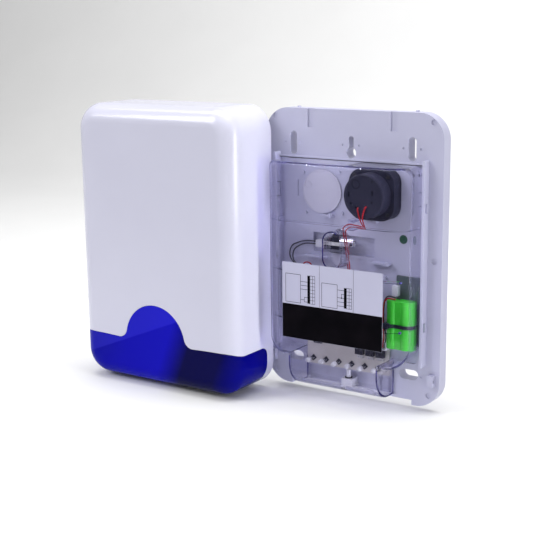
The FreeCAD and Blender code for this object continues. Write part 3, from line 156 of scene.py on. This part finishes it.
def clear(name, tint, tinted_body, density):
    """Clear moulded plastic: seen straight through face on, glassy at a slant, open to the lamps' rays."""
    material, tree, output = new_material(name)
    glass = tree.nodes.new("ShaderNodeBsdfPrincipled")
    glass.inputs["Base Color"].default_value = (*tint, 1.0)
    glass.inputs["Transmission Weight"].default_value = 1.0
    glass.inputs["IOR"].default_value = 1.38
    glass.inputs["Specular IOR Level"].default_value = 0.2
    glass.inputs["Specular Tint"].default_value = (0.45, 0.45, 0.75, 1.0)
    smear = noise(tree, 30.0)
    tree.links.new(mottled(tree, smear, grey(0.01), grey(0.03)), glass.inputs["Roughness"])
    tree.links.new(bump(tree, smear, 0.06, 0.0008), glass.inputs["Normal"])
    through = tree.nodes.new("ShaderNodeBsdfTransparent")
    through.inputs["Color"].default_value = (0.97, 0.97, 0.98, 1.0)
    slant = tree.nodes.new("ShaderNodeLayerWeight")
    slant.inputs["Blend"].default_value = 0.5
    share = ramp(tree, slant.outputs["Facing"], [(0.25, grey(0.03)), (0.50, grey(0.22)), (0.80, grey(1.0))])
    face = mixed(tree, share, through.outputs["BSDF"], glass.outputs["BSDF"])
    path = tree.nodes.new("ShaderNodeLightPath")
    surface = mixed(tree, path.outputs["Is Shadow Ray"], face, through.outputs["BSDF"])
    tree.links.new(surface, output.inputs["Surface"])
    body = tree.nodes.new("ShaderNodeVolumeAbsorption")
    body.inputs["Color"].default_value = (*tinted_body, 1.0)
    body.inputs["Density"].default_value = density
    tree.links.new(body.outputs["Volume"], output.inputs["Volume"])
    return material


def milky(name, low, high, share):
    """Clear resin with a cloudy body, for the LEDs: dense at the nose and nearly see-through behind it."""
    material, tree, output = new_material(name)
    shader = tree.nodes.new("ShaderNodeBsdfPrincipled")
    cloud = noise(tree, 700.0)
    tree.links.new(mottled(tree, cloud, low, high), shader.inputs["Base Color"])
    tree.links.new(mottled(tree, cloud, grey(0.05), grey(0.12)), shader.inputs["Roughness"])
    shader.inputs["Transmission Weight"].default_value = share
    shader.inputs["IOR"].default_value = 1.3
    apart = tree.nodes.new("ShaderNodeSeparateXYZ")
    tree.links.new(object_place(tree), apart.inputs["Vector"])
    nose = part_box("strobe_leds")[0][1]
    solid = reach(tree, apart.outputs["Y"], nose + 4.5 * MM, nose + 6.0 * MM, 1.0, 0.06)
    tree.links.new(solid, shader.inputs["Alpha"])
    tree.links.new(shader.outputs["BSDF"], output.inputs["Surface"])
    return material


def lens_blue(name):
    """Deep blue lens plastic with painted light and shade: bright where light gets behind it, painted
    near-navy shade over its inside and a painted reflection at its right end.
    """
    material, tree, output = new_material(name)
    shader = tree.nodes.new("ShaderNodeBsdfPrincipled")
    # painted light and shade across the lens, from its left end to its right end, leaning to the right as it
    # rises
    across = reach(tree, along(tree, (1.0, 0.0, -0.40)), -0.250, -0.040)
    body = ramp(tree, across, [
        (0.0, (0.002, 0.002, 0.23)), (0.30, (0.003, 0.002, 0.38)), (0.54, (0.004, 0.003, 0.43)),
        (0.68, (0.001, 0.001, 0.050)), (0.88, (0.001, 0.001, 0.055)), (0.94, (0.001, 0.001, 0.12)),
        (1.0, (0.001, 0.001, 0.18))])
    # painted reflection: the part above a leaning line is a little lighter
    painted_reflection_mask = reach(tree, along(tree, (-0.40, 0.0, 1.0)), -0.0100, -0.0085)
    upper = ramp(tree, painted_reflection_mask, [(0.0, grey(0.0)), (1.0, (0.010, 0.010, 0.09))])
    both = tree.nodes.new("ShaderNodeMix")
    both.data_type = "RGBA"
    both.blend_type = "ADD"
    both.inputs["Factor"].default_value = 1.0
    tree.links.new(body, both.inputs["A"])
    tree.links.new(upper, both.inputs["B"])
    tree.links.new(both.outputs["Result"], shader.inputs["Base Color"])
    rough = mottled(tree, noise(tree, 9.0), grey(0.05), grey(0.09))
    tree.links.new(rough, shader.inputs["Roughness"])
    shader.inputs["Specular IOR Level"].default_value = 0.05
    tree.links.new(shader.outputs["BSDF"], output.inputs["Surface"])
    return material


# opaque finishes, by the record's material slots; three more slots have a shader of their own
FINISHES = {
    "white_shell": dict(low=(0.555, 0.555, 0.675), high=(0.57, 0.57, 0.69), roughness=(0.20, 0.25),
                        scale=14.0, relief=0.015, grain=2600.0, coat=0.3),
    "seal_rubber": dict(low=(0.006, 0.006, 0.012), high=(0.012, 0.012, 0.02), roughness=(0.5, 0.7)),
    "label_film": dict(low=(0.44, 0.44, 0.58), high=(0.46, 0.46, 0.60), roughness=(0.35, 0.45), scale=30.0,
                       relief=0.02, specular=0.2),
    "pale_plastic": dict(low=(0.435, 0.435, 0.585), high=(0.465, 0.465, 0.615), roughness=(0.34, 0.44),
                         scale=20.0),
    "disc_plastic": dict(low=(0.51, 0.50, 0.62), high=(0.54, 0.53, 0.65), roughness=(0.36, 0.46), scale=20.0),
    "black_plastic": dict(low=(0.021, 0.021, 0.038), high=(0.025, 0.025, 0.044), roughness=(0.36, 0.46),
                          scale=40.0, relief=0.0, specular=0.10),
    "white_plastic": dict(low=(0.60, 0.60, 0.68), high=(0.66, 0.66, 0.74), roughness=(0.35, 0.45),
                          scale=90.0),
    "steel": dict(low=(0.45, 0.45, 0.50), high=(0.6, 0.6, 0.66), roughness=(0.25, 0.4), scale=200.0,
                  metallic=1.0),
    "dark_steel": dict(low=(0.03, 0.03, 0.04), high=(0.05, 0.05, 0.06), roughness=(0.35, 0.5), scale=200.0,
                       metallic=0.8),
    "bright_metal": dict(low=(0.80, 0.80, 0.88), high=(0.9, 0.9, 0.96), roughness=(0.06, 0.12), scale=80.0,
                         metallic=1.0),
    "brass": dict(low=(0.55, 0.38, 0.14), high=(0.65, 0.46, 0.2), roughness=(0.25, 0.35), scale=80.0,
                  metallic=1.0),
    "board_cream": dict(low=(0.48, 0.45, 0.46), high=(0.53, 0.50, 0.51), roughness=(0.4, 0.5)),
    "board_green": dict(low=(0.075, 0.095, 0.105), high=(0.095, 0.118, 0.125)),
    "sleeve_green": dict(low=(0.045, 0.56, 0.035), high=(0.065, 0.66, 0.050), roughness=(0.12, 0.2),
                         scale=90.0, relief=0.25, grain=300.0),
    "cell_metal": dict(low=(0.5, 0.5, 0.48), high=(0.6, 0.6, 0.58), scale=80.0, metallic=1.0),
    "wire_red": dict(low=(0.30, 0.006, 0.010), high=(0.38, 0.010, 0.014), scale=120.0, specular=0.2),
    "wire_black": dict(low=(0.015, 0.015, 0.02), high=(0.03, 0.03, 0.04), scale=120.0),
    "dot_green": dict(low=(0.004, 0.055, 0.030), high=(0.008, 0.080, 0.045), roughness=(0.4, 0.5),
                      scale=300.0),
    # for the fine pieces and the paper sweep
    "print_black": dict(low=(0.003, 0.003, 0.004), high=(0.006, 0.005, 0.007), roughness=(0.35, 0.45),
                        scale=40.0, relief=0.0, specular=0.0),
    # painted shade: near black for the holes and slots on the driver's cap and the gap under the base's ledge
    "shade_black": dict(low=(0.001, 0.001, 0.002), high=(0.002, 0.002, 0.003), roughness=(0.7, 0.9),
                       scale=300.0, relief=0.0, specular=0.0),
    # painted shade in the base's blind holes, also used for its clip marks
    "hole_shade_and_mark_grey": dict(low=(0.05, 0.05, 0.08), high=(0.08, 0.08, 0.12), roughness=(0.5, 0.6), scale=200.0,
                      relief=0.0, specular=0.2),
    # painted edge shade: dark violet for the strips along the clear plastic's edges
    "edge_shade_violet": dict(low=(0.028, 0.024, 0.13), high=(0.05, 0.045, 0.20), roughness=(0.2, 0.35), relief=0.0,
                        specular=0.3),
    "sweep_paper": dict(low=grey(0.82), high=grey(0.84), roughness=(0.8, 0.9), scale=5.0, relief=0.0,
                        specular=0.1),
}

MATERIALS = {name: plastic(name, **finish) for name, finish in FINISHES.items()}
MATERIALS["blue_lens"] = lens_blue("blue_lens")
MATERIALS["clear_plastic"] = clear("clear_plastic", (0.985, 0.983, 0.995), (0.42, 0.38, 0.93), 40.0)
MATERIALS["led_clear"] = milky("led_clear", (0.74, 0.74, 0.82), (0.7992, 0.7992, 0.8856), 0.35)

slot_of = {part["node"]: part["material_slot"] for part in frame["record"]["subparts"]}
for name, item in nodes.items():
    item.data.materials.clear()
    item.data.materials.append(MATERIALS[slot_of[name]])


# ---------------------------------------------------------------------------------------------
# shapes of the fine pieces, in millimetres
# ---------------------------------------------------------------------------------------------

def mesh_of(name, bm, finish, smooth=False):
    """An object with one finish from a finished mesh, linked to the scene."""
    mesh = bpy.data.meshes.new(name)
    bm.to_mesh(mesh)
    bm.free()
    for polygon in mesh.polygons:
        polygon.use_smooth = smooth
    mesh.materials.append(MATERIALS[finish])
    item = bpy.data.objects.new(name, mesh)
    bpy.context.scene.collection.objects.link(item)
    return item


def add_piece(name, bm, finish, body):
    """A piece of the siren from a mesh: faces outward, a finish and the body it rides on."""
    bmesh.ops.recalc_face_normals(bm, faces=bm.faces)
    item = mesh_of(name, bm, finish)
    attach(item, body)


def plate(bm, outline, near, far, upright=False):
    """Thin closed slab: an outline in X and Z between two Y, or upright in Y and Z between two X."""
    rows = []
    for depth in (near, far):
        corners = [(depth, u, v) if upright else (u, depth, v) for u, v in outline]
        rows.append([bm.verts.new((x * MM, y * MM, z * MM)) for x, y, z in corners])
    bm.faces.new(rows[0])
    bm.faces.new(rows[1][::-1])
    count = len(outline)
    for number in range(count):
        after = (number + 1) % count
        bm.faces.new((rows[0][number], rows[0][after], rows[1][after], rows[1][number]))


def block(bm, left, right, top, low, near, far):
    """Thin slab with a level rectangle as its outline."""
    plate(bm, [(left, top), (right, top), (right, low), (left, low)], near, far)


def stroke(bm, points, width, near, far, upright=False):
    """Line of constant width through points, as plates that overlap at the turns."""
    for (u0, v0), (u1, v1) in zip(points, points[1:]):
        ahead = Vector((u1 - u0, v1 - v0)).normalized() * width / 2
        side = Vector((-ahead.y, ahead.x))
        plate(bm, [(u0 - ahead.x + side.x, v0 - ahead.y + side.y),
                   (u0 - ahead.x - side.x, v0 - ahead.y - side.y),
                   (u1 + ahead.x - side.x, v1 + ahead.y - side.y),
                   (u1 + ahead.x + side.x, v1 + ahead.y + side.y)], near, far, upright)


def disc(bm, x, z, radius, near, far, inner=0.0, count=32):
    """Thin round slab, or a ring when it has an inner radius."""
    turn = [(math.cos(2 * math.pi * n / count), math.sin(2 * math.pi * n / count)) for n in range(count)]
    if not inner:
        plate(bm, [(x + radius * c, z + radius * s) for c, s in turn], near, far)
        return
    for number in range(count):
        (c0, s0), (c1, s1) = turn[number], turn[(number + 1) % count]
        plate(bm, [(x + inner * c0, z + inner * s0), (x + radius * c0, z + radius * s0),
                   (x + radius * c1, z + radius * s1), (x + inner * c1, z + inner * s1)], near, far)


def arc(centre_u, centre_v, radius, first, last, step):
    """Points on a circle from one angle to another, in degrees."""
    turns = [math.radians(angle) for angle in range(first, last + 1, step)]
    return [(centre_u + radius * math.cos(turn), centre_v + radius * math.sin(turn)) for turn in turns]


def front_of(node):
    """Y of a node's front, in millimetres."""
    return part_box(node)[0][1] / MM


# ---------------------------------------------------------------------------------------------
# fine pieces
# ---------------------------------------------------------------------------------------------

def print_terminal(bm, x, top, rows, pitch, near, far):
    """Printed terminal strip: black clamp column with a ruled grid beside it."""
    clamps, cells, grid, line = 3.1, 5.9, 8.6, 0.36
    low = top - rows * pitch
    block(bm, x, x + clamps, top, low, near, far)
    for row in range(rows + 1):
        stroke(bm, [(x + clamps, top - row * pitch), (x + grid, top - row * pitch)], line, near, far)
    for column in (cells, grid):
        stroke(bm, [(x + column, top), (x + column, low)], line, near, far)


def label_print():
    """Print on the label: black lower field, two column rules and two wiring sketches, no lettering."""
    near = front_of("wiring_label") - 0.03
    far = near + 0.05
    rule, line = 0.3, 0.42
    field_top, field_low, field_side = -47.9, -83.1, 57.2
    bm = bmesh.new()
    block(bm, -field_side, field_side, field_top, field_low, near, far)
    for x in (-13.5, 25.1):
        stroke(bm, [(x, -5.4), (x, field_top)], rule, near, far)

    def wire(*points):
        stroke(bm, points, line, near, far)

    left_box, left_strip = -35.6, -27.4
    right_box, right_strip = 7.0, 14.6
    for left, right, top, low in ((-53.2, left_box, -16.9, -45.9), (-10.8, right_box, -22.1, -46.1)):
        wire((left, top), (right, top), (right, low), (left, low), (left, top))
    for z in (-23.5, -27.4, -31.3):
        wire((left_box, z), (left_strip, z))
    bracket = -31.1
    wire((left_box, -42.0), (bracket, -42.0))
    wire((left_strip, -39.3), (bracket, -39.3), (bracket, -44.0), (left_strip, -44.0))
    for z in (-27.1, -39.0, -43.1):
        wire((right_box, z), (right_strip, z))
    bracket, joint = 11.9, -34.8
    wire((right_box, joint), (bracket, joint))
    wire((right_strip, -30.9), (bracket, -30.9), (bracket, joint), (right_strip, joint))
    disc(bm, bracket, joint, 0.8, near - 0.01, far)
    print_terminal(bm, left_strip, -16.7, 8, 3.58, near, far)
    print_terminal(bm, right_strip, -24.3, 6, 3.42, near, far)
    add_piece("label_print", bm, "print_black", "inner_cover")


def driver_hole_shade():
    """Painted shade for small blind holes, slots and a moulding ring on the driver's back cap: flat black
    discs, bars and a ring on its face.
    """
    centre = [(low + high) / 2 / MM for low, high in zip(*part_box("siren_driver_cap"))]
    near = front_of("siren_driver_cap") - 0.02
    far = near + 0.04
    hole_radius, slot_half_width, slot_half_height = 0.95, 0.6, 2.4
    bm = bmesh.new()
    for x, z in ((-13.3, -6.9), (-7.4, -10.6), (9.7, -4.8), (9.5, 15.1)):
        disc(bm, centre[0] + x, centre[2] + z, hole_radius, near, far, count=20)
    for x, z in ((-15.6, 1.5), (10.0, 4.1)):
        block(bm, centre[0] + x - slot_half_width, centre[0] + x + slot_half_width,
              centre[2] + z + slot_half_height, centre[2] + z - slot_half_height, near, far)
    disc(bm, centre[0] - 7.9, centre[2] + 11.8, 4.3, near, far, inner=3.85)
    add_piece("driver_hole_shade", bm, "shade_black", "base")


def led_noses():
    """Painted highlight: a bright ring round a dark middle in the nose of each strobe LED."""
    count, led_radius = 6, 2.5
    ring_radius, ring_inner, core_radius = 2.3, 1.25, 1.2
    near = front_of("strobe_leds") + 0.9
    far = near + 0.15
    low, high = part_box("strobe_leds")
    first = low[0] / MM + led_radius
    pitch = ((high[0] - low[0]) / MM - 2 * led_radius) / (count - 1)
    middle = (low[2] + high[2]) / 2 / MM
    highlights, cores = bmesh.new(), bmesh.new()
    for number in range(count):
        disc(highlights, first + number * pitch, middle, ring_radius, near, far, inner=ring_inner)
        disc(cores, first + number * pitch, middle, core_radius, near, far, count=20)
    add_piece("led_highlight_rings", highlights, "white_plastic", "base")
    add_piece("led_cores", cores, "dark_steel", "base")


def chin_edge_shade():
    """Painted edge shade: dark violet strips round the clear chin's two side walls, where the clear plastic
    looks dark along its edges.
    """
    inside, outside, width = 50.2, 50.5, 1.9
    front, bottom, bend = -50.6, -135.2, 24.6
    outline = [(front, -104.0), *arc(front + bend, bottom + bend, bend, 180, 270, 9), (-16.0, bottom),
               (-15.6, -112.0)]
    bm = bmesh.new()
    stroke(bm, outline, width, inside, outside, upright=True)
    stroke(bm, outline, width, -outside, -inside, upright=True)
    add_piece("chin_edge_shade", bm, "edge_shade_violet", "inner_cover")


def cover_edge_shade():
    """Painted edge shade: dark violet strips in the sleeve's left edge and in the ends of two ribs of the
    clear cover.
    """
    sleeve_middle, sleeve_radius, half_straight = 11.0, 10.0, 8.5
    rib_left, rib_right, rib_half = 71.4, 73.2, 0.9
    end = arc(0.0, half_straight, sleeve_radius, 60, 180, 12)
    upper = [(x, sleeve_middle + z) for x, z in end]
    lower = [(x, sleeve_middle - z) for x, z in reversed(end)]
    bm = bmesh.new()
    stroke(bm, upper + lower, 1.2, -51.98, -51.7)
    for z in (-14.0, -63.5):
        block(bm, rib_left, rib_right, z + rib_half, z - rib_half, -45.8, -43.0)
    add_piece("cover_edge_shade", bm, "edge_shade_violet", "inner_cover")


def base_hole_shade_and_marks():
    """Painted shade in blind holes as dark grey discs, and dark grey strokes for clip marks, on the base's
    floor and left wall.
    """
    floor, wall = -14.0, -83.0
    near, far = floor - 0.04, floor + 0.1
    bm = bmesh.new()
    for x, z in ((69.3, 85.1), (74.6, 85.5)):
        disc(bm, x, z, 1.5, near, far, count=24)
    for z in (68.8, 55.3):
        stroke(bm, [(75.0, z), (76.6, z + 0.6), (78.3, z)], 1.0, near, far)
    clip = [(-23.6, 69.9), (-15.4, 69.0), (-15.4, 54.4), (-23.6, 55.4)]
    stroke(bm, clip, 0.8, wall - 0.1, wall + 0.1, upright=True)
    add_piece("base_hole_shade_and_marks", bm, "hole_shade_and_mark_grey", "base")


def painted_gap_shade():
    """Painted shade: a black strip in the gap between the base's ledge and the top of the clear cover, where
    shade falls.
    """
    half_length, top, low = 82.0, 95.56, 95.08
    bm = bmesh.new()
    block(bm, -half_length, half_length, top, low, -16.5, -14.1)
    add_piece("painted_gap_shade", bm, "shade_black", "base")


# ---------------------------------------------------------------------------------------------
# camera and light, in metres
# ---------------------------------------------------------------------------------------------

def set_camera():
    """Camera at the product picture's angle."""
    azimuth, elevation, roll = (math.radians(angle) for angle in (33.787, 12.517, -0.57))
    place = (0.572823, -1.00712, 0.234494)
    back = Vector((math.sin(azimuth) * math.cos(elevation), -math.cos(azimuth) * math.cos(elevation),
                   math.sin(elevation)))
    right = (-back).cross(Vector((0, 0, 1))).normalized()
    up = right.cross(-back)
    turned_right = right * math.cos(roll) + up * math.sin(roll)
    turned_up = -right * math.sin(roll) + up * math.cos(roll)
    camera = bpy.data.cameras.new("camera")
    camera.lens = 76.115
    camera.sensor_width = 36.0
    camera.clip_start = 0.05
    camera.clip_end = 50.0
    item = bpy.data.objects.new("camera", camera)
    item.matrix_world = Matrix((*zip(turned_right, turned_up, back, place), (0, 0, 0, 1)))
    bpy.context.scene.collection.objects.link(item)
    bpy.context.scene.camera = item


def set_sweep():
    """Pale paper under the siren that curves up behind it."""
    ground, ceiling = -0.1515, 3.0
    front, half_width = -2.5, 3.5
    bend_start, bend_radius, bend_steps = 0.9, 0.8, 8
    profile = [(front, ground), (bend_start, ground)]
    for step in range(1, bend_steps + 1):
        angle = math.radians(90 * step / bend_steps)
        profile.append((bend_start + bend_radius * math.sin(angle),
                        ground + bend_radius * (1 - math.cos(angle))))
    profile.append((bend_start + bend_radius, ceiling))
    bm = bmesh.new()
    rows = [[bm.verts.new((x, y, z)) for x in (-half_width, half_width)] for y, z in profile]
    for low, high in zip(rows, rows[1:]):
        bm.faces.new((low[0], low[1], high[1], high[0]))
    sweep = mesh_of("sweep", bm, "sweep_paper", smooth=True)


def area(name, place, aim, size, power, spread=180):
    """Rectangular soft light aimed at a point; power in watts, spread in degrees."""
    light = bpy.data.lights.new(name, "AREA")
    light.shape = "RECTANGLE"
    light.size, light.size_y = size
    light.energy = power
    light.spread = math.radians(spread)
    item = bpy.data.objects.new(name, light)
    item.location = place
    item.rotation_euler = (Vector(aim) - Vector(place)).to_track_quat("-Z", "Y").to_euler()
    bpy.context.scene.collection.objects.link(item)


def set_lights():
    """White surroundings and soft boxes."""
    world = bpy.data.worlds.new("studio")
    bpy.context.scene.world = world
    world.use_nodes = True
    background = world.node_tree.nodes["Background"]
    background.inputs["Color"].default_value = (1.0, 1.0, 1.0, 1.0)
    background.inputs["Strength"].default_value = 0.42
    area("key", (-1.0, -1.2, 1.2), (-0.15, 0, 0.14), (0.8, 1.0), 2.75, spread=66)
    area("top", (0.0, -0.1, 1.5), (0, 0, 0), (1.8, 1.2), 10.0)
    area("side", (1.2, -0.30, 0.30), (-0.1, 0, 0), (0.5, 1.0), 3.2)
    area("gap", (0.45, -0.085, -0.03), (-0.088, -0.055, -0.03), (0.04, 0.42), 0.070, spread=16)
    area("backdrop", (0.0, 0.1, 1.6), (0, 1.7, 0.4), (2.5, 1.0), 30.0)
    area("window", (0.15, -1.6, 1.1), (-0.15, 0, 0.05), (0.35, 0.5), 1.0)
    bpy.context.scene.view_settings.view_transform = "Standard"


label_print()
driver_hole_shade()
led_noses()
chin_edge_shade()
cover_edge_shade()
base_hole_shade_and_marks()
painted_gap_shade()

set_camera()
set_sweep()
set_lights()
